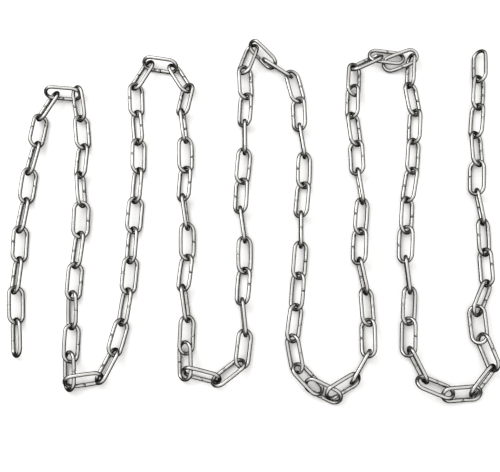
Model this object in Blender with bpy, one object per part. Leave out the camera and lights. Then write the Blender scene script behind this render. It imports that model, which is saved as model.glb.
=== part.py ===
"""Length of long-link steel chain, laid to and fro in nine runs on a flat surface."""
import math

import bpy
import bmesh
import numpy as np

# Link sizes, metres
WIRE = 0.00425
PITCH = 0.035
WIDTH = 0.0202
BEND_R = (WIDTH - WIRE) / 2
HALF = (PITCH + WIRE) / 2
FLAT_R = 0.0023
SIDES = 6
BEND_STEPS = 5

# Least and greatest spacing of neighbouring wires, centre to centre
JOINED = (0.0035, 0.00375)
LOOSE = (0.0046, 0.0052)

# Height of a link's ends over the floor, and the lean that counts as standing on edge
END_HEIGHT = 0.0067
OVER_EDGE_LINK = 0.0088
ON_EDGE = math.radians(65)
BESIDE_EDGE_LEAN = math.radians(37)

# Route sheet: one unit is SHEET_UNIT across at the sheet's middle and shrinks right and down
SHEET_UNIT = 0.001093
SHEET_GROWTH = (0.000065, 0.000337)
SHEET_STRETCH = 1.0353
SHEET_MIDDLE = (250.0, 236.0)

# Every link in order from the lower left end: side held up, lean in degrees, sheet point of
# its far eye end, and its near eye end where that is not the far end of the link before
START = (18, 351.4)
LINKS = [
    # first run, upward
    ("E", 47, 17, 320.1), ("W", 45, 16.5, 289), ("E", 47, 19.3, 258.7), ("W", 45, 21, 228.9),
    ("E", 47, 25.6, 199.3), ("W", 45, 29.9, 170.7), ("E", 47, 36.2, 143.8), ("W", 45, 40.7, 116.6),
    # first top turn
    ("E", 47, 54.5, 94), ("N", 64, 74, 93.5, 51, 94.2), ("E", 42, 80.5, 119.5, 73.5, 89.5),
    # second run, downward
    ("W", 40, 82.7, 146.7), ("E", 48, 80, 174.5), ("W", 75, 82, 203.7), ("W", 25, 80, 233.5),
    ("E", 45, 76, 263.3), ("W", 42, 73.4, 294), ("E", 47, 72.8, 324, 73.4, 293), ("W", 42, 71.2, 355.7),
    ("E", 43, 70.8, 385.2, 71, 353.8),
    # first bottom turn
    ("N", 56, 98.6, 376.4, 71.6, 379.6), ("E", 48, 115.4, 350.6, 99.4, 378),
    # third run, upward
    ("W", 47, 122.8, 321.8), ("E", 48, 127.8, 290.8, 122.8, 321.4), ("W", 36, 130.8, 259.7),
    ("E", 48, 133, 229), ("W", 33, 135.5, 198.8), ("E", 49, 137.8, 169.8), ("W", 43, 138, 140.6),
    ("E", 47, 135.5, 112.6), ("W", 37, 134.5, 85.5),
    # second top turn
    ("E", 39, 148.5, 62), ("N", 55, 174.9, 66.4, 147.5, 62.6), ("W", 46, 186, 88.2, 172.4, 65.8),
    # fourth run, downward
    ("E", 47, 181.3, 112.4, 186.3, 87), ("W", 82, 184.8, 139.2), ("W", 34, 185, 168.5),
    ("E", 45, 183.2, 196.8), ("W", 86, 187.3, 226.3), ("W", 36, 187.2, 257.6),
    ("E", 46, 183.5, 287.8), ("W", 81, 187.8, 318.2), ("W", 36, 186.3, 350),
    ("E", 38, 186, 376.7, 185.7, 343.3),
    # second bottom turn
    ("N", 59, 216.2, 377.6, 189.2, 370.6), ("E", 42, 241.2, 362.7, 216.4, 380),
    # fifth run, upward
    ("W", 39, 246, 332.5, 241.4, 363.8), ("W", 80, 242.7, 300.9), ("E", 45, 244.7, 269.8),
    ("W", 39, 244.8, 239), ("W", 89, 240.5, 209.3), ("E", 43, 241.5, 180.2), ("W", 36, 244.2, 151.2),
    ("W", 80, 243.9, 122.1), ("E", 46, 245, 95.2), ("W", 33, 243.8, 67.5, 245, 94.2),
    # third top turn
    ("E", 31, 251.6, 46.2, 242.8, 70), ("E", 58, 272.2, 64, 250.6, 45.4),
    ("W", 64, 288.4, 74.8, 264.8, 59.8),
    # sixth run, downward
    ("W", 28, 297.9, 98.8, 289.8, 71), ("E", 40, 299.3, 126.5), ("E", 89, 304.3, 155),
    ("W", 35, 303.5, 184.6), ("E", 43, 301, 213.8), ("E", 89, 301.2, 244.8), ("W", 40, 299, 275.3),
    ("E", 43, 297, 306.8), ("W", 42, 293, 338), ("E", 44, 298.8, 369.7),
    # third bottom turn
    ("W", 44, 319.7, 390.5, 298.7, 367.7), ("N", 42, 337.9, 397.3, 311.5, 383.5),
    ("N", 62, 355.1, 379.5, 331.9, 391.5), ("E", 89, 369.8, 353.2, 352.7, 380.7),
    # seventh run, upward
    ("E", 45, 369.2, 322.2, 369.8, 354), ("W", 38, 366.8, 291.5), ("W", 88, 359.8, 260.3),
    ("E", 47, 360.8, 231.2), ("W", 38, 362.8, 200.7), ("W", 85, 357.5, 170.5), ("E", 45, 356, 142.4),
    ("W", 42, 352.2, 114.5), ("E", 46, 352.7, 86.9), ("W", 37, 353.8, 65.2, 352.6, 94.1),
    # fourth top turn
    ("E", 51, 377.5, 56.4, 354, 67.4), ("S", 20, 399, 57, 373.2, 54.8),
    ("N", 10, 413.4, 55.4, 386.4, 61.8), ("E", 54, 410, 82.4, 410.2, 54.4),
    # eighth run, downward
    ("W", 35, 415.5, 112.2), ("E", 50, 414.5, 140.5), ("W", 37, 412.7, 169.6), ("E", 49, 408.3, 199.3),
    ("W", 39, 407, 229), ("E", 48, 406.3, 259.5), ("W", 83, 410.8, 291), ("W", 38, 410, 322),
    ("E", 46, 410, 353.2), ("E", 86, 426.8, 380, 412.6, 351.6),
    # fourth bottom turn
    ("S", 36, 450.6, 393.6, 423.6, 381.8), ("N", 40, 478.4, 393.6, 449.6, 394.6),
    ("N", 64, 493.6, 370.4, 474.2, 392.4), ("E", 64, 484, 338.3, 493.9, 369.1),
    # ninth run, upward
    ("E", 24, 478.8, 309.5, 482.6, 340.3), ("W", 49, 489, 285.1, 478.2, 313.1), ("E", 55, 486.5, 252.5),
    ("W", 38, 484.3, 222.4), ("W", 79, 477.8, 192), ("E", 49, 478.5, 162.7), ("W", 40, 476.8, 134.5),
    ("E", 51, 478.6, 106.2), ("W", 38, 479.8, 79), ("E", 48, 480, 52.8),
]

# Links whose near end sits back inside the eye before it, and starts of runs joined in pairs
SLACK_BEFORE = {10, 44, 71, 72, 83, 85, 86, 87, 103}
# Extra height of the near and far end of links held up or let down by their neighbours
PROPPED = {11: (0.005, 0), 33: (0, 0.001), 83: (0, 0.002), 86: (-0.0037, 0.0056), 98: (0, 0.002)}
# Least wire spacing where a link lies differently against the one before
LEAST_SPACING = {10: 0.00474, 86: 0.0046}

# How far a link may be eased from its sheet place: lean in degrees, near end up, slide
EASES = (0, -4, 4, -8, 8, -12, 12, -16, 16, -20, 20, -25, 25, -30, 30)
LIFTS = np.arange(0, 0.0061, 0.001)
SLIDES = np.arange(-0.009, 0.00901, 0.0002)
EASE_COST = 0.00012
LIFT_COST = 0.4
APART_COST = 2.0

# Points on a link's middle line, for finding where wires meet
CROWN_POINTS = 24
ARM_POINTS = 10

COMPASS = {"E": (1, 0), "W": (-1, 0), "N": (0, 1), "S": (0, -1)}


def clear_scene():
    for obj in list(bpy.data.objects):
        bpy.data.objects.remove(obj, do_unlink=True)
    for mesh in list(bpy.data.meshes):
        bpy.data.meshes.remove(mesh)
    for mat in list(bpy.data.materials):
        bpy.data.materials.remove(mat)


def sheet_to_floor(point):
    """Sheet point to floor metres, x to the right and y up the sheet."""
    right = point[0] - SHEET_MIDDLE[0]
    down = point[1] - SHEET_MIDDLE[1]
    scale = SHEET_UNIT / (1 + SHEET_GROWTH[0] * right + SHEET_GROWTH[1] * down)
    return np.array((right * scale, -down * scale * SHEET_STRETCH))


def read_links():
    """Near end, far end and signed lean of every link; a positive lean lifts its left side."""
    rows = []
    last = START
    for row in LINKS:
        side, lean, far = row[0], row[1], row[2:4]
        near = row[4:6] if len(row) > 4 else last
        last = far
        near_xy = sheet_to_floor(near)
        far_xy = sheet_to_floor(far)
        heading = (far_xy - near_xy) / np.linalg.norm(far_xy - near_xy)
        left = np.array((-heading[1], heading[0]))
        sign = 1 if left @ np.array(COMPASS[side]) > 0 else -1
        rows.append([near_xy, far_xy, heading, sign * math.radians(lean)])
    for before, row, after in zip([rows[0]] + rows, rows, rows[1:] + [rows[-1]]):
        if max(abs(before[3]), abs(after[3])) > ON_EDGE > abs(row[3]):
            row[3] = math.copysign(min(abs(row[3]), BESIDE_EDGE_LEAN), row[3])
    return rows


def rest_height(lean):
    """Height of a link's middle line when one of its arms lies on the floor."""
    angles = [math.radians(30 + 60 * k) + abs(lean) for k in range(SIDES)]
    below = max(-math.sin(a) for a in angles) * FLAT_R
    return below + BEND_R * abs(math.sin(lean))


def middle_line():
    """Closed middle line of a link's wire in its own plane, along and across."""
    points = []
    straight = HALF - BEND_R
    for end in (1, -1):
        for k in range(CROWN_POINTS + 1):
            turn = math.pi * (k / CROWN_POINTS - 0.5)
            points.append((end * (straight + math.cos(turn) * BEND_R), math.sin(turn) * end * BEND_R))
        for k in range(1, ARM_POINTS):
            points.append((end * straight * (1 - 2 * k / ARM_POINTS), end * BEND_R))
    return np.array(points)


MIDDLE_LINE = middle_line()


def frame_of(pose):
    """Axes of a link: along, across and out of its plane."""
    _, heading, pitch, lean = pose
    along = np.array((heading[0] * math.cos(pitch), heading[1] * math.cos(pitch), math.sin(pitch)))
    level = np.array((-heading[1], heading[0], 0.0))
    up = np.cross(along, level)
    across = level * math.cos(lean) + up * math.sin(lean)
    out = np.cross(along, across)
    return along, across, out


def wire_points(pose):
    """Closely spaced points along the middle of a link's wire, in order round it."""
    along, across, _ = frame_of(pose)
    return pose[0] + MIDDLE_LINE[:, :1] * along + MIDDLE_LINE[:, 1:] * across


def slide_gaps(before, points, heading):
    """Least distance from one wire to another for every slide of the second along its heading."""
    apart = points[None, :, :] - before[:, None, :]
    along = (apart[..., :2] @ heading).ravel()
    square = (apart ** 2).sum(axis=2).ravel()
    near = square < max(0.0009, square.min() * 1.5)
    square = square[near]
    along = along[near]
    least = (square + 2 * SLIDES[:, None] * along + SLIDES[:, None] ** 2).min(axis=1)
    return np.sqrt(least)


def threaded(pose, other):
    """Whether the wire of the second link passes once through the eye of the first."""
    axes = np.array(frame_of(pose))
    local = (wire_points(other) - pose[0]) @ axes.T
    after = np.roll(local, -1, axis=0)
    through = 0
    for p, q in zip(local, after):
        if (p[2] < 0) != (q[2] < 0):
            x, y = (p + (q - p) * p[2] / (p[2] - q[2]))[:2]
            beyond = max(abs(x) - (HALF - BEND_R), 0)
            through += math.hypot(beyond, y) < BEND_R
    return through == 1


def pose_at(target, heading, lean, near_z, far_z, slide):
    pitch = math.asin((far_z - near_z) / (2 * HALF))
    centre = np.array((*(target + heading * slide), (near_z + far_z) / 2))
    return centre, heading, pitch, lean


def end_heights(rows, index, lean):
    """Rest heights of the near and far end, raised where the neighbour stands on edge."""
    heights = []
    for other, extra in zip((index - 1, index + 1), PROPPED.get(index + 1, (0, 0))):
        height = max(rest_height(lean), END_HEIGHT)
        if 0 <= other < len(rows) and abs(rows[other][3]) > ON_EDGE:
            height = max(height, OVER_EDGE_LINK)
        heights.append(height + extra)
    return heights


def second_of_pair(number):
    """Whether a link is joined to the one before it; the count starts again at slack links."""
    start = max([1] + [n for n in SLACK_BEFORE if n <= number])
    return (number - start) % 2 == 1


def fitted(rows, index, poses, target, heading):
    """Pose nearest the sheet that meets the link before: slid, leaned a little, or lifted."""
    lean = rows[index][3]
    slack = index + 1 in SLACK_BEFORE
    tight, wide = JOINED if second_of_pair(index + 1) else LOOSE
    tight = LEAST_SPACING.get(index + 1, tight)
    before = wire_points(poses[-1])
    best = None
    for ease in EASES:
        turned = lean + math.radians(ease)
        near_z, far_z = end_heights(rows, index, turned)
        for lift in LIFTS:
            cost = abs(ease) * EASE_COST + lift * LIFT_COST
            if best and cost >= best[0]:
                continue
            pose = pose_at(target, heading, turned, near_z + lift, far_z, 0)
            points = wire_points(pose)
            gaps = slide_gaps(before, points, heading)
            fits = (gaps >= tight) & (slack | (gaps <= wide))
            if len(poses) > 1:
                fits &= slide_gaps(wire_points(poses[-2]), points, heading) >= LOOSE[0]
            totals = cost + np.abs(SLIDES) + APART_COST * np.maximum(gaps - LOOSE[1], 0)
            for choice in sorted(np.flatnonzero(fits), key=lambda k: totals[k]):
                if best and totals[choice] >= best[0]:
                    break
                pose = pose_at(target, heading, turned, near_z + lift, far_z, SLIDES[choice])
                if threaded(poses[-1], pose):
                    best = (totals[choice], pose)
                    break
    return best


def place_links():
    """Put every link at its sheet place, eased until it is threaded through the one before."""
    rows = read_links()
    poses = []
    drift = np.zeros(2)
    for index, (near_xy, far_xy, heading, lean) in enumerate(rows):
        sideways = drift - heading * (drift @ heading)
        heading = far_xy - near_xy - sideways
        heading = heading / np.linalg.norm(heading)
        target = (near_xy + far_xy + sideways) / 2
        near_z, far_z = end_heights(rows, index, lean)
        pose = pose_at(target, heading, lean, near_z, far_z, 0)
        if poses:
            found = fitted(rows, index, poses, target, heading)
            if found:
                pose = found[1]
        poses.append(pose)
        drift = pose[0][:2] + heading * (PITCH / 2 * math.cos(pose[2])) - far_xy
    return poses


def link_mesh(pose):
    """Vertices and faces of one link, a six-sided wire bent round its middle line."""
    along, across, out = frame_of(pose)
    straight = HALF - BEND_R
    widen = 1 / math.cos(math.pi / BEND_STEPS / 2)
    verts = []
    for end in (1, -1):
        for k in range(BEND_STEPS + 1):
            turn = math.pi * (k / BEND_STEPS - 0.5)
            forward = math.cos(turn) * end
            sideways = math.sin(turn) * end
            mid = 1.0 if k in (0, BEND_STEPS) else widen
            for side in range(SIDES):
                angle = math.radians(30 + 360 * side / SIDES)
                radius = (BEND_R + FLAT_R * math.cos(angle)) * mid
                x = end * straight + forward * radius
                y = sideways * radius
                verts.append(pose[0] + along * x + across * y + out * (FLAT_R * math.sin(angle)))
    rings = len(verts) // SIDES
    faces = []
    for ring in range(rings):
        after = (ring + 1) % rings
        for side in range(SIDES):
            beside = (side + 1) % SIDES
            faces.append((ring * SIDES + side, ring * SIDES + beside,
                          after * SIDES + beside, after * SIDES + side))
    return verts, faces


def add_object(name, verts, faces, material):
    mesh = bpy.data.meshes.new(name)
    mesh.from_pydata([tuple(v) for v in verts], [], faces)
    mesh.materials.append(material)
    bm = bmesh.new()
    bm.from_mesh(mesh)
    bmesh.ops.recalc_face_normals(bm, faces=bm.faces)
    bm.to_mesh(mesh)
    bm.free()
    obj = bpy.data.objects.new(name, mesh)
    bpy.context.collection.objects.link(obj)
    return obj


def unite(keep, other):
    """Join a second link to the first where their wires meet, and drop the second."""
    cut = keep.modifiers.new("join", "BOOLEAN")
    cut.operation = "UNION"
    cut.solver = "EXACT"
    cut.object = other
    bpy.context.view_layer.update()
    depsgraph = bpy.context.evaluated_depsgraph_get()
    joined = bpy.data.meshes.new_from_object(keep.evaluated_get(depsgraph))
    keep.modifiers.clear()
    old = keep.data
    name = old.name
    keep.data = joined
    bpy.data.meshes.remove(old)
    joined.name = name
    bpy.data.objects.remove(other, do_unlink=True)


def steel(name, colour, roughness):
    mat = bpy.data.materials.new(name)
    mat.use_nodes = True
    shader = mat.node_tree.nodes["Principled BSDF"]
    shader.inputs["Base Color"].default_value = (*colour, 1)
    shader.inputs["Metallic"].default_value = 1.0
    shader.inputs["Roughness"].default_value = roughness
    return mat


def build():
    clear_scene()
    poses = place_links()
    meshes = [link_mesh(pose) for pose in poses]
    points = np.array([v for verts, _ in meshes for v in verts])
    low = points.min(axis=0)
    high = points.max(axis=0)
    origin = np.array(((low[0] + high[0]) / 2, (low[1] + high[1]) / 2, low[2]))
    bright = steel("bright_steel", (0.62, 0.62, 0.61), 0.22)
    first = 0
    while first < len(meshes):
        paired = first + 1 < len(meshes) and second_of_pair(first + 2)
        name = f"links_{first + 1:03d}_{first + 2:03d}" if paired else f"link_{first + 1:03d}"
        verts, faces = meshes[first]
        obj = add_object(name, np.array(verts) - origin, faces, bright)
        if paired:
            verts, faces = meshes[first + 1]
            unite(obj, add_object("second", np.array(verts) - origin, faces, bright))
        first += 2 if paired else 1


if __name__ == "__main__":
    build()
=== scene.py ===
"""Looks for a length of long-link bright steel chain, laid to and fro on a white floor."""

import math

import bpy
import numpy as np
from mathutils import Matrix, Vector


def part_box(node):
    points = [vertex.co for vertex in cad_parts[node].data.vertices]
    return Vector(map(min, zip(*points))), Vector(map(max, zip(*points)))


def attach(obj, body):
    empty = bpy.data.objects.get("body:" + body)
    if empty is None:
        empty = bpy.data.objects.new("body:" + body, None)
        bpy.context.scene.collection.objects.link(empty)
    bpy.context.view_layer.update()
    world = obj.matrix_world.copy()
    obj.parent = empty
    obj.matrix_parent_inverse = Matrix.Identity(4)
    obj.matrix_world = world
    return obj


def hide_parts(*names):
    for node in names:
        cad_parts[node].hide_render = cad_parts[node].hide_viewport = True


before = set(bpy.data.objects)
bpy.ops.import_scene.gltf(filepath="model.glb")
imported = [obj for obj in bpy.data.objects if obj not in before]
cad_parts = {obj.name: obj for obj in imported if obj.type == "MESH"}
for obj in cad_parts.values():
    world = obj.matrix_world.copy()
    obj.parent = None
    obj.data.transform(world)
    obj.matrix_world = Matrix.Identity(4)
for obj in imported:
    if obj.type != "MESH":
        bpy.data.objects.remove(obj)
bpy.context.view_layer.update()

# Link sizes, metres
WIRE = 0.00425
PITCH = 0.035
WIDTH = 0.0202
BEND_R = (WIDTH - WIRE) / 2
HALF = (PITCH + WIRE) / 2
FLAT_R = 0.0023
SIDES = 6

# Least and greatest spacing of neighbouring wires, centre to centre
JOINED = (0.0035, 0.00375)
LOOSE = (0.0046, 0.0052)

# Height of a link's ends over the floor, and the lean that counts as standing on edge
END_HEIGHT = 0.0067
OVER_EDGE_LINK = 0.0088
ON_EDGE = math.radians(65)
BESIDE_EDGE_LEAN = math.radians(37)

# Route sheet: one unit is SHEET_UNIT across at the sheet's middle and shrinks right and down
SHEET_UNIT = 0.001093
SHEET_GROWTH = (0.000065, 0.000337)
SHEET_STRETCH = 1.0353
SHEET_MIDDLE = (250.0, 236.0)

# Every link in order from the lower left end: side held up, lean in degrees, sheet point of
# its far eye end, and its near eye end where that is not the far end of the link before
START = (18, 351.4)
LINKS = [
    # first run, upward
    ("E", 47, 17, 320.1), ("W", 45, 16.5, 289), ("E", 47, 19.3, 258.7), ("W", 45, 21, 228.9),
    ("E", 47, 25.6, 199.3), ("W", 45, 29.9, 170.7), ("E", 47, 36.2, 143.8), ("W", 45, 40.7, 116.6),
    # first top turn
    ("E", 47, 54.5, 94), ("N", 64, 74, 93.5, 51, 94.2), ("E", 42, 80.5, 119.5, 73.5, 89.5),
    # second run, downward
    ("W", 40, 82.7, 146.7), ("E", 48, 80, 174.5), ("W", 75, 82, 203.7), ("W", 25, 80, 233.5),
    ("E", 45, 76, 263.3), ("W", 42, 73.4, 294), ("E", 47, 72.8, 324, 73.4, 293),
    ("W", 42, 71.2, 355.7), ("E", 43, 70.8, 385.2, 71, 353.8),
    # first bottom turn
    ("N", 56, 98.6, 376.4, 71.6, 379.6), ("E", 48, 115.4, 350.6, 99.4, 378),
    # third run, upward
    ("W", 47, 122.8, 321.8), ("E", 48, 127.8, 290.8, 122.8, 321.4), ("W", 36, 130.8, 259.7),
    ("E", 48, 133, 229), ("W", 33, 135.5, 198.8), ("E", 49, 137.8, 169.8), ("W", 43, 138, 140.6),
    ("E", 47, 135.5, 112.6), ("W", 37, 134.5, 85.5),
    # second top turn
    ("E", 39, 148.5, 62), ("N", 55, 174.9, 66.4, 147.5, 62.6), ("W", 46, 186, 88.2, 172.4, 65.8),
    # fourth run, downward
    ("E", 47, 181.3, 112.4, 186.3, 87), ("W", 82, 184.8, 139.2), ("W", 34, 185, 168.5),
    ("E", 45, 183.2, 196.8), ("W", 86, 187.3, 226.3), ("W", 36, 187.2, 257.6),
    ("E", 46, 183.5, 287.8), ("W", 81, 187.8, 318.2), ("W", 36, 186.3, 350),
    ("E", 38, 186, 376.7, 185.7, 343.3),
    # second bottom turn
    ("N", 59, 216.2, 377.6, 189.2, 370.6), ("E", 42, 241.2, 362.7, 216.4, 380),
    # fifth run, upward
    ("W", 39, 246, 332.5, 241.4, 363.8), ("W", 80, 242.7, 300.9), ("E", 45, 244.7, 269.8),
    ("W", 39, 244.8, 239), ("W", 89, 240.5, 209.3), ("E", 43, 241.5, 180.2),
    ("W", 36, 244.2, 151.2), ("W", 80, 243.9, 122.1), ("E", 46, 245, 95.2),
    ("W", 33, 243.8, 67.5, 245, 94.2),
    # third top turn
    ("E", 31, 251.6, 46.2, 242.8, 70), ("E", 58, 272.2, 64, 250.6, 45.4),
    ("W", 64, 288.4, 74.8, 264.8, 59.8),
    # sixth run, downward
    ("W", 28, 297.9, 98.8, 289.8, 71), ("E", 40, 299.3, 126.5), ("E", 89, 304.3, 155),
    ("W", 35, 303.5, 184.6), ("E", 43, 301, 213.8), ("E", 89, 301.2, 244.8), ("W", 40, 299, 275.3),
    ("E", 43, 297, 306.8), ("W", 42, 293, 338), ("E", 44, 298.8, 369.7),
    # third bottom turn
    ("W", 44, 319.7, 390.5, 298.7, 367.7), ("N", 42, 337.9, 397.3, 311.5, 383.5),
    ("N", 62, 355.1, 379.5, 331.9, 391.5), ("E", 89, 369.8, 353.2, 352.7, 380.7),
    # seventh run, upward
    ("E", 45, 369.2, 322.2, 369.8, 354), ("W", 38, 366.8, 291.5), ("W", 88, 359.8, 260.3),
    ("E", 47, 360.8, 231.2), ("W", 38, 362.8, 200.7), ("W", 85, 357.5, 170.5),
    ("E", 45, 356, 142.4), ("W", 42, 352.2, 114.5), ("E", 46, 352.7, 86.9),
    ("W", 37, 353.8, 65.2, 352.6, 94.1),
    # fourth top turn
    ("E", 51, 377.5, 56.4, 354, 67.4), ("S", 20, 399, 57, 373.2, 54.8),
    ("N", 10, 413.4, 55.4, 386.4, 61.8), ("E", 54, 410, 82.4, 410.2, 54.4),
    # eighth run, downward
    ("W", 35, 415.5, 112.2), ("E", 50, 414.5, 140.5), ("W", 37, 412.7, 169.6),
    ("E", 49, 408.3, 199.3), ("W", 39, 407, 229), ("E", 48, 406.3, 259.5),
    ("W", 83, 410.8, 291), ("W", 38, 410, 322), ("E", 46, 410, 353.2),
    ("E", 86, 426.8, 380, 412.6, 351.6),
    # fourth bottom turn
    ("S", 36, 450.6, 393.6, 423.6, 381.8), ("N", 40, 478.4, 393.6, 449.6, 394.6),
    ("N", 64, 493.6, 370.4, 474.2, 392.4), ("E", 64, 484, 338.3, 493.9, 369.1),
    # ninth run, upward
    ("E", 24, 478.8, 309.5, 482.6, 340.3), ("W", 49, 489, 285.1, 478.2, 313.1),
    ("E", 55, 486.5, 252.5), ("W", 38, 484.3, 222.4), ("W", 79, 477.8, 192),
    ("E", 49, 478.5, 162.7), ("W", 40, 476.8, 134.5), ("E", 51, 478.6, 106.2),
    ("W", 38, 479.8, 79), ("E", 48, 480, 52.8),
]

# Links that lie slack in the eye before them, where the count of joined pairs starts again
SLACK_BEFORE = {10, 44, 71, 72, 83, 85, 86, 87, 103}
# Extra height of the near and far end of links held up or let down by their neighbours
PROPPED = {11: (0.005, 0), 33: (0, 0.001), 83: (0, 0.002), 86: (-0.0037, 0.0056), 98: (0, 0.002)}
# Least wire spacing where a link lies differently against the one before
LEAST_SPACING = {10: 0.00474, 86: 0.0046}

# How far a link may be eased from its sheet place: lean in degrees, near end up, slide
EASES = (0, -4, 4, -8, 8, -12, 12, -16, 16, -20, 20, -25, 25, -30, 30)
LIFTS = np.arange(0, 0.0061, 0.001)
SLIDES = np.arange(-0.009, 0.00901, 0.0002)
EASE_COST = 0.00012
LIFT_COST = 0.4
APART_COST = 2.0
# Square of the distance within which two wires are compared, metres
NEARBY = 0.0009

# Points on a link's middle line, for finding where wires meet
CROWN_POINTS = 24
ARM_POINTS = 10

COMPASS = {"E": (1, 0), "W": (-1, 0), "N": (0, 1), "S": (0, -1)}


def sheet_to_floor(point):
    """Sheet point to floor metres, x to the right and y up the sheet."""
    right = point[0] - SHEET_MIDDLE[0]
    down = point[1] - SHEET_MIDDLE[1]
    scale = SHEET_UNIT / (1 + SHEET_GROWTH[0] * right + SHEET_GROWTH[1] * down)
    return np.array((right * scale, -down * scale * SHEET_STRETCH))


def read_links():
    """Near end, far end and signed lean of every link; a positive lean lifts its left side."""
    rows = []
    last = START
    for row in LINKS:
        side, lean, far = row[0], row[1], row[2:4]
        near = row[4:6] if len(row) > 4 else last
        last = far
        near_xy = sheet_to_floor(near)
        far_xy = sheet_to_floor(far)
        heading = (far_xy - near_xy) / np.linalg.norm(far_xy - near_xy)
        left = np.array((-heading[1], heading[0]))
        sign = 1 if left @ np.array(COMPASS[side]) > 0 else -1
        rows.append([near_xy, far_xy, heading, sign * math.radians(lean)])
    for before, row, after in zip([rows[0]] + rows, rows, rows[1:] + [rows[-1]]):
        if max(abs(before[3]), abs(after[3])) > ON_EDGE > abs(row[3]):
            row[3] = math.copysign(min(abs(row[3]), BESIDE_EDGE_LEAN), row[3])
    return rows


def rest_height(lean):
    """Height of a link's middle line when one of its arms lies on the floor."""
    angles = [math.radians((k + 0.5) * 360 / SIDES) + abs(lean) for k in range(SIDES)]
    below = max(-math.sin(a) for a in angles) * FLAT_R
    return below + BEND_R * abs(math.sin(lean))


def middle_line():
    """Closed middle line of a link's wire in its own plane, along and across."""
    points = []
    straight = HALF - BEND_R
    for end in (1, -1):
        for k in range(CROWN_POINTS + 1):
            turn = math.pi * (k / CROWN_POINTS - 0.5)
            along = end * (straight + math.cos(turn) * BEND_R)
            points.append((along, math.sin(turn) * end * BEND_R))
        for k in range(1, ARM_POINTS):
            points.append((end * straight * (1 - 2 * k / ARM_POINTS), end * BEND_R))
    return np.array(points)


MIDDLE_LINE = middle_line()


def frame_of(pose):
    """Axes of a link: along, across and out of its plane."""
    _, heading, pitch, lean = pose
    along = np.array((heading[0] * math.cos(pitch), heading[1] * math.cos(pitch), math.sin(pitch)))
    level = np.array((-heading[1], heading[0], 0.0))
    up = np.cross(along, level)
    across = level * math.cos(lean) + up * math.sin(lean)
    out = np.cross(along, across)
    return along, across, out


def wire_points(pose):
    """Closely spaced points along the middle of a link's wire, in order round it."""
    along, across, _ = frame_of(pose)
    return pose[0] + MIDDLE_LINE[:, :1] * along + MIDDLE_LINE[:, 1:] * across


def slide_gaps(before, points, heading):
    """Least distance from one wire to another for every slide of the second along its heading."""
    apart = points[None, :, :] - before[:, None, :]
    along = (apart[..., :2] @ heading).ravel()
    square = (apart ** 2).sum(axis=2).ravel()
    near = square < max(NEARBY, square.min() * 1.5)
    square = square[near]
    along = along[near]
    least = (square + 2 * SLIDES[:, None] * along + SLIDES[:, None] ** 2).min(axis=1)
    return np.sqrt(least)


def threaded(pose, other):
    """Whether the wire of the second link passes once through the eye of the first."""
    axes = np.array(frame_of(pose))
    local = (wire_points(other) - pose[0]) @ axes.T
    after = np.roll(local, -1, axis=0)
    through = 0
    for p, q in zip(local, after):
        if (p[2] < 0) != (q[2] < 0):
            x, y = (p + (q - p) * p[2] / (p[2] - q[2]))[:2]
            beyond = max(abs(x) - (HALF - BEND_R), 0)
            through += math.hypot(beyond, y) < BEND_R
    return through == 1


def pose_at(target, heading, lean, near_z, far_z, slide):
    """Centre, heading, pitch and lean of a link with its ends at two heights."""
    pitch = math.asin((far_z - near_z) / (2 * HALF))
    centre = np.array((*(target + heading * slide), (near_z + far_z) / 2))
    return centre, heading, pitch, lean


def end_heights(rows, index, lean):
    """Rest heights of the near and far end, raised where the neighbour stands on edge."""
    heights = []
    for other, extra in zip((index - 1, index + 1), PROPPED.get(index + 1, (0, 0))):
        height = max(rest_height(lean), END_HEIGHT)
        if 0 <= other < len(rows) and abs(rows[other][3]) > ON_EDGE:
            height = max(height, OVER_EDGE_LINK)
        heights.append(height + extra)
    return heights


def second_of_pair(number):
    """Whether a link is joined to the one before it; the count starts again at slack links."""
    start = max([1] + [n for n in SLACK_BEFORE if n <= number])
    return (number - start) % 2 == 1


def fitted(rows, index, poses, target, heading):
    """Pose nearest the sheet that meets the link before: slid, leaned a little, or lifted."""
    lean = rows[index][3]
    slack = index + 1 in SLACK_BEFORE
    tight, wide = JOINED if second_of_pair(index + 1) else LOOSE
    tight = LEAST_SPACING.get(index + 1, tight)
    before = wire_points(poses[-1])
    best = None
    for ease in EASES:
        turned = lean + math.radians(ease)
        near_z, far_z = end_heights(rows, index, turned)
        for lift in LIFTS:
            cost = abs(ease) * EASE_COST + lift * LIFT_COST
            if best and cost >= best[0]:
                continue
            pose = pose_at(target, heading, turned, near_z + lift, far_z, 0)
            points = wire_points(pose)
            gaps = slide_gaps(before, points, heading)
            fits = (gaps >= tight) & (slack | (gaps <= wide))
            if len(poses) > 1:
                fits &= slide_gaps(wire_points(poses[-2]), points, heading) >= LOOSE[0]
            totals = cost + np.abs(SLIDES) + APART_COST * np.maximum(gaps - LOOSE[1], 0)
            for choice in sorted(np.flatnonzero(fits), key=lambda k: totals[k]):
                if best and totals[choice] >= best[0]:
                    break
                pose = pose_at(target, heading, turned, near_z + lift, far_z, SLIDES[choice])
                if threaded(poses[-1], pose):
                    best = (totals[choice], pose)
                    break
    return best


def place_links():
    """Put every link at its sheet place, eased until it is threaded through the one before."""
    rows = read_links()
    poses = []
    drift = np.zeros(2)
    for index, (near_xy, far_xy, heading, lean) in enumerate(rows):
        sideways = drift - heading * (drift @ heading)
        heading = far_xy - near_xy - sideways
        heading = heading / np.linalg.norm(heading)
        target = (near_xy + far_xy + sideways) / 2
        near_z, far_z = end_heights(rows, index, lean)
        pose = pose_at(target, heading, lean, near_z, far_z, 0)
        if poses:
            found = fitted(rows, index, poses, target, heading)
            if found:
                pose = found[1]
        poses.append(pose)
        drift = pose[0][:2] + heading * (PITCH / 2 * math.cos(pose[2])) - far_xy
    return poses

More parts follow.
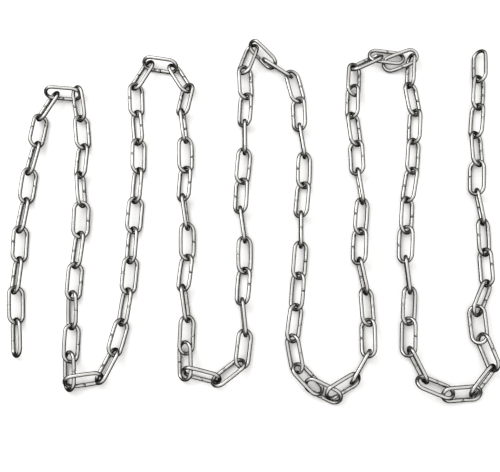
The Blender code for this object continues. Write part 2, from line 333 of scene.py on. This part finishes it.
# Wire as it shows: gap left between touching wires, how far along a link it gives way there,
# rounds of easing touching wires apart, and how far an arm bows and a bend is flattened
WIRE_R = WIRE / 2
ARM_EDGE = HALF - BEND_R
TOUCH = 0.00004
TOUCH_SPREAD = 0.0045
TOUCH_ROUNDS = 5
BOW = (-0.00005, 0.00035)
FLATTENING = 0.03

# Rings of the visible wire: sides of a ring, rings round a bend, along an arm and at a weld
RING_SIDES = 20
CROWN_RINGS = 26
ARM_RINGS = 34
WELD_RINGS = 22
WELD_REACH = 0.0038

# Butt weld, metres: how far off the arm's middle, how askew, and its collar, notch and seam
WELD_OFF = 0.0012
WELD_SKEW = 0.0003
COLLAR_HEIGHT = 0.00017
NOTCH_DEPTH = 0.00075
SEAM_DEPTH = 0.0003

# The same along the arm, millimetres from the weld's middle
MILLIMETRE = 0.001
COLLAR_WIDTH = 0.9
TINT_WIDTH = 1.4
NOTCH_AT = 0.9
NOTCH_WIDTH = 0.62
SEAM_AT = -1.15
SEAM_WIDTH = 0.35

# How strongly the tint, the notch and the seam of a weld darken the metal
TINT_MARK = 0.35
NOTCH_MARK = 1.4
SEAM_MARK = 0.7

# Side of each link that its butt weld is on, in order from the first link
WELD_SIDES = ("WWWWWEWW" "WSW" "EWEEWEEEE" "SW" "WEWWWEWEW" "WSE" "WEEEEEEEEW" "SW" "WEEWEWEEEE"
              "WWE" "EWWWWEEEEE" "ESSW" "WEEWWEEEWE" "WNSW" "EWEWEWEWEW" "NSSE" "WEEWEWEEEW")

# Drawn lines in the steel: size across the wire, and shift from one link to the next
LINE_SPREAD = 2.5
LINE_SHIFT = 7.3

# Colours of the steel, its welds, the painted shade with some rub wear inside the bends where wires
# cross, and of the studio
STEEL_DARK = (0.356, 0.350, 0.336, 1)
STEEL_LIGHT = (0.425, 0.417, 0.401, 1)
WELD_COLOUR = (0.035, 0.033, 0.031, 1)
# painted shade, partly rub wear, where the wires cross inside the bends
SHADE_AND_WEAR_COLOUR = (0.19, 0.186, 0.18, 1)
FLOOR_COLOUR = (0.762, 0.759, 0.748, 1)
BACKDROP_COLOUR = (0.97, 0.97, 0.96, 1)

# Studio: floor and dome sizes, brightness of the sky by height, and the lamp
FLOOR_SIZE = 6.0
FLOOR_STEPS = 24
DOME_RADIUS = 2.9
DOME_STEPS = 48
DOME_ROWS = 14
SKY_LOW = (0.02, 0.01)
SKY_MIDDLE = (0.28, 0.13)
SKY_HIGH = (0.62, 1.0)
SKY_STRENGTH = 1.75
LAMP_SIZE = 0.8
LAMP_POWER = 8.0
LAMP_PLACE = (-0.75, 0.55, 1.1)

# Camera, from how the runs spread towards the lower edge of the picture
FOCAL_SHARE = 795 / 500
SENSOR = 36.0
CAMERA_DISTANCE = 0.8724
CAMERA_TILT = math.radians(15.11)
CAMERA_SWING = math.radians(2.23)
CAMERA_ROLL = math.radians(0.36)
CAMERA_AIM = (-0.0042, -0.0268, 0.0067)


def link_random(number, low, high, salt):
    """Repeatable value between low and high for one link."""
    wave = math.sin(number * 12.9898 + salt * 78.233) * 43758.5453
    return low + (high - low) * (wave - math.floor(wave))


def rounded_bump(away, width):
    """Height of a rounded bump, 1 at its middle."""
    return math.exp(-(away / width) ** 2)


def half_wave(angle):
    """Wave between 0 and 1."""
    return 0.5 + 0.5 * math.sin(angle)


def arm_stations():
    """Places along an arm, from one bend to the other, closer together at the weld."""
    outer = np.linspace(ARM_EDGE, WELD_REACH, ARM_RINGS // 2 - WELD_RINGS // 2 + 1)[:-1]
    inner = np.linspace(WELD_REACH, -WELD_REACH, WELD_RINGS + 1)
    return np.concatenate([outer, inner, -outer[::-1]])


def wire_path(number):
    """Rings round a link: place on the middle line, outward direction, arm side, place along it."""
    bow = link_random(number, *BOW, 1)
    rings = []
    for end in (1, -1):
        for k in range(1, CROWN_RINGS):
            turn = math.pi * (k / CROWN_RINGS - 0.5)
            forward = math.cos(turn) * end
            sideways = math.sin(turn) * end
            x = end * ARM_EDGE + forward * BEND_R
            rings.append((x, sideways * BEND_R, forward, sideways, 0, 0.0))
        for x in arm_stations() * end:
            curve = bow * math.cos(math.pi * x / (2 * ARM_EDGE))
            rings.append((x, end * (BEND_R + curve), 0.0, float(end), end, x))
    return rings


def weld_swell(number, x, angle):
    """Extra wire radius at a butt weld, and how strongly the metal is marked there."""
    middle = link_random(number, -WELD_OFF, WELD_OFF, 2)
    skew = WELD_SKEW * math.sin(angle + number)
    away = (x - middle - skew) / MILLIMETRE
    rough = 1 + 0.45 * math.sin(2 * angle + number * 2.1) + 0.3 * math.sin(5 * angle + number)
    collar = rounded_bump(away, COLLAR_WIDTH) * rough
    notch = rounded_bump(away - NOTCH_AT, NOTCH_WIDTH) * half_wave(angle + number * 1.7)
    seam = rounded_bump(away - SEAM_AT, SEAM_WIDTH) * half_wave(2 * angle + number)
    swell = COLLAR_HEIGHT * collar - NOTCH_DEPTH * notch - SEAM_DEPTH * seam
    mark = TINT_MARK * rounded_bump(away, TINT_WIDTH) + NOTCH_MARK * notch + SEAM_MARK * seam
    return swell, min(mark, 1.0)


def yielded(line, shifts):
    """Points of a link's middle line, moved aside where neighbours bear on the wire."""
    moved = line
    for point, shift in shifts:
        fade = np.exp(-((line - point) ** 2).sum(axis=1) / TOUCH_SPREAD ** 2)
        moved = moved + fade[:, None] * shift
    return moved


def bearing_shifts(poses):
    """For every link, where a neighbour bears on it and how far its wire yields there."""
    shifts = [[] for _ in poses]
    lines = [wire_points(pose) for pose in poses]
    for first in [k for _ in range(TOUCH_ROUNDS) for k in range(len(poses) - 1)]:
        near = yielded(lines[first], shifts[first])
        far = yielded(lines[first + 1], shifts[first + 1])
        apart = far[None, :, :] - near[:, None, :]
        square = (apart ** 2).sum(axis=2)
        p, q = np.unravel_index(np.argmin(square), square.shape)
        gap = math.sqrt(square[p, q])
        yields = (2 * WIRE_R + TOUCH - gap) / 2
        if yields > 0:
            away = apart[p, q] / gap
            shifts[first].append((lines[first][p], -away * yields))
            shifts[first + 1].append((lines[first + 1][q], away * yields))
    return shifts


def bend_shade_and_wear(bend, angle):
    """How strongly the inside of a bend is darkened: painted shade where the wire of the next link
    crosses it, with some rub wear.
    """
    inside = max(-math.cos(angle), 0.0)
    return (bend ** 3) * inside ** 0.5


def wire_surface(number, pose, shifts, weld_arm):
    """Points round the wire of a link, and each one's weld mark, painted shade and wear inside the
    bends, and place on the wire.
    """
    along, across, out = frame_of(pose)
    verts, marks, shade_and_wear, streaks = [], [], [], []
    run = 0.0
    last = None
    for x, y, nx, ny, arm, place in wire_path(number):
        middle = yielded((pose[0] + along * x + across * y)[None, :], shifts)[0]
        outward = along * nx + across * ny
        if last is not None:
            run += math.hypot(x - last[0], y - last[1])
        last = (x, y)
        bend = max(abs(x) - ARM_EDGE, 0) / BEND_R
        flat = 1 - FLATTENING * min(1.0, 3 * bend)
        for side in range(RING_SIDES):
            angle = 2 * math.pi * side / RING_SIDES
            swell, mark = weld_swell(number, place, angle) if arm == weld_arm else (0.0, 0.0)
            radius = WIRE_R + swell
            u = radius * flat * math.cos(angle)
            w = radius / flat * math.sin(angle)
            verts.append(middle + outward * u + out * w)
            marks.append(mark)
            # painted shade, with some rub wear, inside the bends where the wires cross
            shade_and_wear.append(bend_shade_and_wear(bend, angle))
            streaks += [run / MILLIMETRE + number * LINE_SHIFT,
                        math.cos(angle) * LINE_SPREAD,
                        math.sin(angle) * LINE_SPREAD]
    return verts, marks, shade_and_wear, streaks


def ring_faces(count):
    """Faces between rings of points that follow each other and close up."""
    faces = []
    for ring in range(count):
        here = ring * RING_SIDES
        after = (ring + 1) % count * RING_SIDES
        for side in range(RING_SIDES):
            beside = (side + 1) % RING_SIDES
            faces.append((here + side, here + beside, after + beside, after + side))
    return faces


def add_mesh(name, verts, faces, material):
    """New object in the scene."""
    mesh = bpy.data.meshes.new(name)
    mesh.from_pydata([tuple(v) for v in verts], [], faces)
    mesh.materials.append(material)
    obj = bpy.data.objects.new(name, mesh)
    bpy.context.scene.collection.objects.link(obj)
    return obj


def dressed_link(number, pose, shifts, origin, material):
    """One link as a smooth closed wire, bent round its middle line, with a butt weld on one arm."""
    left = np.array((-pose[1][1], pose[1][0]))
    weld_arm = 1 if left @ np.array(COMPASS[WELD_SIDES[number - 1]]) > 0 else -1
    verts, marks, shade_and_wear, streaks = wire_surface(number, pose, shifts, weld_arm)
    faces = ring_faces(len(verts) // RING_SIDES)
    obj = add_mesh(f"chain_link_{number:03d}", [v - origin for v in verts], faces, material)
    mesh = obj.data
    mesh.polygons.foreach_set("use_smooth", [True] * len(faces))
    # weld marks and the painted shade with wear inside the bends go onto the mesh
    for label, values in (("weld", marks), ("shade_and_wear", shade_and_wear)):
        layer = mesh.attributes.new(label, "FLOAT", "POINT")
        layer.data.foreach_set("value", values)
    streak = mesh.attributes.new("streak", "FLOAT_VECTOR", "POINT")
    streak.data.foreach_set("vector", streaks)
    mesh.update()
    return obj


def new_material(name):
    """New material and its shader."""
    mat = bpy.data.materials.new(name)
    mat.use_nodes = True
    return mat, mat.node_tree.nodes["Principled BSDF"]


def add_node(tree, kind, inputs=None, **settings):
    """New node with its settings and the fixed values of its inputs."""
    made = tree.nodes.new(kind)
    for key, value in settings.items():
        setattr(made, key, value)
    for socket, value in (inputs or {}).items():
        made.inputs[socket].default_value = value
    return made


def bright_steel():
    """Drawn, bent and tumbled steel: fine lines along the wire, dull patches, grey welds, painted
    shade with some wear inside the bends.
    """
    mat, shader = new_material("bright_steel")
    tree = mat.node_tree
    links = tree.links
    shader.inputs["Metallic"].default_value = 1.0
    shader.inputs["Specular IOR Level"].default_value = 0.5
    streak = add_node(tree, "ShaderNodeAttribute", attribute_name="streak")
    weld = add_node(tree, "ShaderNodeAttribute", attribute_name="weld")
    # painted shade and rub wear inside the bends
    shade_and_wear = add_node(tree, "ShaderNodeAttribute", attribute_name="shade_and_wear")
    place = add_node(tree, "ShaderNodeTexCoord")

    # fine lines drawn along the wire, broad patches and small pits
    lines = add_node(tree, "ShaderNodeMapping", {"Scale": (0.18, 2.4, 2.4)})
    links.new(streak.outputs["Vector"], lines.inputs["Vector"])
    drawn = add_node(tree, "ShaderNodeTexNoise", {"Scale": 1.6, "Detail": 5.0, "Roughness": 0.62})
    links.new(lines.outputs["Vector"], drawn.inputs["Vector"])
    patches = add_node(tree, "ShaderNodeTexNoise", {"Scale": 170.0, "Detail": 4.0})
    links.new(place.outputs["Object"], patches.inputs["Vector"])
    pits = add_node(tree, "ShaderNodeTexNoise", {"Scale": 1500.0, "Detail": 3.0})
    links.new(place.outputs["Object"], pits.inputs["Vector"])

    # clean metal, from lines and patches
    tone = add_node(tree, "ShaderNodeValToRGB")
    dark, light = tone.color_ramp.elements
    dark.position = 0.30
    dark.color = STEEL_DARK
    light.position = 0.62
    light.color = STEEL_LIGHT
    half = add_node(tree, "ShaderNodeMath", {1: 0.65}, operation="MULTIPLY")
    links.new(patches.outputs["Fac"], half.inputs[0])
    blend = add_node(tree, "ShaderNodeMath", {1: 0.35}, operation="MULTIPLY_ADD")
    links.new(drawn.outputs["Fac"], blend.inputs[0])
    links.new(half.outputs[0], blend.inputs[2])
    links.new(blend.outputs[0], tone.inputs["Fac"])

    # burnt metal at the welds
    grain = add_node(tree, "ShaderNodeMapRange",
                     {"From Min": 0.42, "From Max": 0.56, "To Min": 0.6, "To Max": 0.95})
    links.new(pits.outputs["Fac"], grain.inputs["Value"])
    burn = add_node(tree, "ShaderNodeMath", operation="MULTIPLY")
    links.new(weld.outputs["Fac"], burn.inputs[0])
    links.new(grain.outputs["Result"], burn.inputs[1])
    scorched = add_node(tree, "ShaderNodeMix", {"B": WELD_COLOUR}, data_type="RGBA")
    links.new(tone.outputs["Color"], scorched.inputs["A"])
    links.new(burn.outputs[0], scorched.inputs["Factor"])

    # painted shade inside the bends where the wires cross, with some rub wear: darker metal there
    shade_and_wear_share = add_node(tree, "ShaderNodeMath", {1: 0.65}, operation="MULTIPLY")
    links.new(shade_and_wear.outputs["Fac"], shade_and_wear_share.inputs[0])
    shade_and_wear_mixed = add_node(tree, "ShaderNodeMix", {"B": SHADE_AND_WEAR_COLOUR}, data_type="RGBA")
    links.new(scorched.outputs["Result"], shade_and_wear_mixed.inputs["A"])
    links.new(shade_and_wear_share.outputs[0], shade_and_wear_mixed.inputs["Factor"])
    links.new(shade_and_wear_mixed.outputs["Result"], shader.inputs["Base Color"])

    # roughness by patches, more at the welds
    rough = add_node(tree, "ShaderNodeMapRange",
                     {"From Min": 0.3, "From Max": 0.7, "To Min": 0.20, "To Max": 0.27})
    links.new(patches.outputs["Fac"], rough.inputs["Value"])
    rougher = add_node(tree, "ShaderNodeMath", {1: 0.25}, operation="MULTIPLY_ADD")
    links.new(burn.outputs[0], rougher.inputs[0])
    links.new(rough.outputs["Result"], rougher.inputs[2])
    links.new(rougher.outputs[0], shader.inputs["Roughness"])

    # faint relief of lines and pits
    drawn_bump = add_node(tree, "ShaderNodeBump", {"Strength": 0.02, "Distance": 0.00006})
    links.new(drawn.outputs["Fac"], drawn_bump.inputs["Height"])
    pit_bump = add_node(tree, "ShaderNodeBump", {"Strength": 0.02, "Distance": 0.00005})
    links.new(pits.outputs["Fac"], pit_bump.inputs["Height"])
    links.new(drawn_bump.outputs["Normal"], pit_bump.inputs["Normal"])
    links.new(pit_bump.outputs["Normal"], shader.inputs["Normal"])
    return mat


def node_of(number):
    """CAD node that holds a link."""
    if second_of_pair(number):
        return f"links_{number - 1:03d}_{number:03d}"
    if number < len(LINKS) and second_of_pair(number + 1):
        return f"links_{number:03d}_{number + 1:03d}"
    return f"link_{number:03d}"


def dress_chain():
    """Every link, in the place of the solid that holds it."""
    poses = place_links()
    shifts = bearing_shifts(poses)
    low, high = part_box("link_009")
    origin = poses[8][0] - np.array((low + high) / 2)
    steel = bright_steel()
    for number, (pose, yielding) in enumerate(zip(poses, shifts), 1):
        obj = dressed_link(number, pose, yielding, origin, steel)
        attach(obj, "root")
        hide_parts(node_of(number))


def white_floor():
    """Pale seamless floor that the chain lies on."""
    places = [FLOOR_SIZE * (k / FLOOR_STEPS - 0.5) for k in range(FLOOR_STEPS + 1)]
    verts = [(x, y, 0.0) for y in places for x in places]
    row = FLOOR_STEPS + 1
    corners = [j * row + i for j in range(FLOOR_STEPS) for i in range(FLOOR_STEPS)]
    faces = [(a, a + 1, a + row + 1, a + row) for a in corners]
    mat, shader = new_material("white_floor")
    shader.inputs["Base Color"].default_value = FLOOR_COLOUR
    shader.inputs["Roughness"].default_value = 0.9
    shader.inputs["Specular IOR Level"].default_value = 0.1
    floor = add_mesh("floor", verts, faces, mat)
    floor.visible_glossy = False


def pale_backdrop():
    """Pale dome that closes the view over the floor. The light and the reflections pass it by."""
    verts = []
    for j in range(DOME_ROWS):
        height = math.pi / 2 * j / DOME_ROWS
        for i in range(DOME_STEPS):
            turn = 2 * math.pi * i / DOME_STEPS
            verts.append((DOME_RADIUS * math.cos(height) * math.cos(turn),
                          DOME_RADIUS * math.cos(height) * math.sin(turn),
                          DOME_RADIUS * math.sin(height)))
    top = len(verts)
    verts.append((0, 0, DOME_RADIUS))
    faces = []
    for j in range(DOME_ROWS):
        for i in range(DOME_STEPS):
            here = j * DOME_STEPS + i
            beside = j * DOME_STEPS + (i + 1) % DOME_STEPS
            if j < DOME_ROWS - 1:
                faces.append((here, beside, beside + DOME_STEPS, here + DOME_STEPS))
            else:
                faces.append((here, beside, top))
    mat, shader = new_material("pale_backdrop")
    shader.inputs["Base Color"].default_value = (0, 0, 0, 1)
    shader.inputs["Emission Color"].default_value = BACKDROP_COLOUR
    shader.inputs["Emission Strength"].default_value = 1.0
    mat.cycles.emission_sampling = "NONE"
    backdrop = add_mesh("backdrop", verts, faces, mat)
    backdrop.visible_diffuse = False
    backdrop.visible_glossy = False
    backdrop.visible_shadow = False


def sky():
    """Bright overhead cloth, dark low down."""
    world = bpy.data.worlds.new("studio")
    bpy.context.scene.world = world
    world.use_nodes = True
    tree = world.node_tree
    back = tree.nodes["Background"]
    place = add_node(tree, "ShaderNodeTexCoord")
    split = add_node(tree, "ShaderNodeSeparateXYZ")
    ramp = add_node(tree, "ShaderNodeValToRGB")
    stops = ramp.color_ramp.elements
    stops[0].position = SKY_LOW[0]
    stops[1].position = SKY_HIGH[0]
    stops.new(SKY_MIDDLE[0])
    for stop, (_, bright) in zip(stops, (SKY_LOW, SKY_MIDDLE, SKY_HIGH)):
        stop.color = (bright, bright, bright, 1)
    tree.links.new(place.outputs["Generated"], split.inputs[0])
    tree.links.new(split.outputs["Z"], ramp.inputs["Fac"])
    tree.links.new(ramp.outputs["Color"], back.inputs["Color"])
    back.inputs["Strength"].default_value = SKY_STRENGTH


def lamp():
    """One soft lamp from the upper left."""
    light = bpy.data.lights.new("key", "AREA")
    light.shape = "SQUARE"
    light.size = LAMP_SIZE
    light.energy = LAMP_POWER
    key = bpy.data.objects.new("key", light)
    bpy.context.scene.collection.objects.link(key)
    key.location = LAMP_PLACE
    key.rotation_euler = (-Vector(LAMP_PLACE)).to_track_quat("-Z", "Y").to_euler()


def camera():
    """Camera over the near side of the layout, looking down and away."""
    data = bpy.data.cameras.new("camera")
    data.sensor_fit = "HORIZONTAL"
    data.sensor_width = SENSOR
    data.lens = SENSOR * FOCAL_SHARE
    data.clip_start = 0.01
    data.clip_end = 50
    cam = bpy.data.objects.new("camera", data)
    bpy.context.scene.collection.objects.link(cam)
    look = Vector((-math.tan(CAMERA_SWING), math.tan(CAMERA_TILT), -1)).normalized()
    aim = Vector(CAMERA_AIM)
    back = -look
    level = Vector((0, 1, 0)).cross(back).normalized()
    right = Matrix.Rotation(CAMERA_ROLL, 3, back) @ level
    up = back.cross(right)
    turn = Matrix((right, up, back)).transposed().to_4x4()
    cam.matrix_world = Matrix.Translation(aim - look * CAMERA_DISTANCE) @ turn
    bpy.context.scene.camera = cam


dress_chain()
white_floor()
pale_backdrop()
sky()
lamp()
camera()
bpy.context.scene.view_settings.view_transform = "Standard"
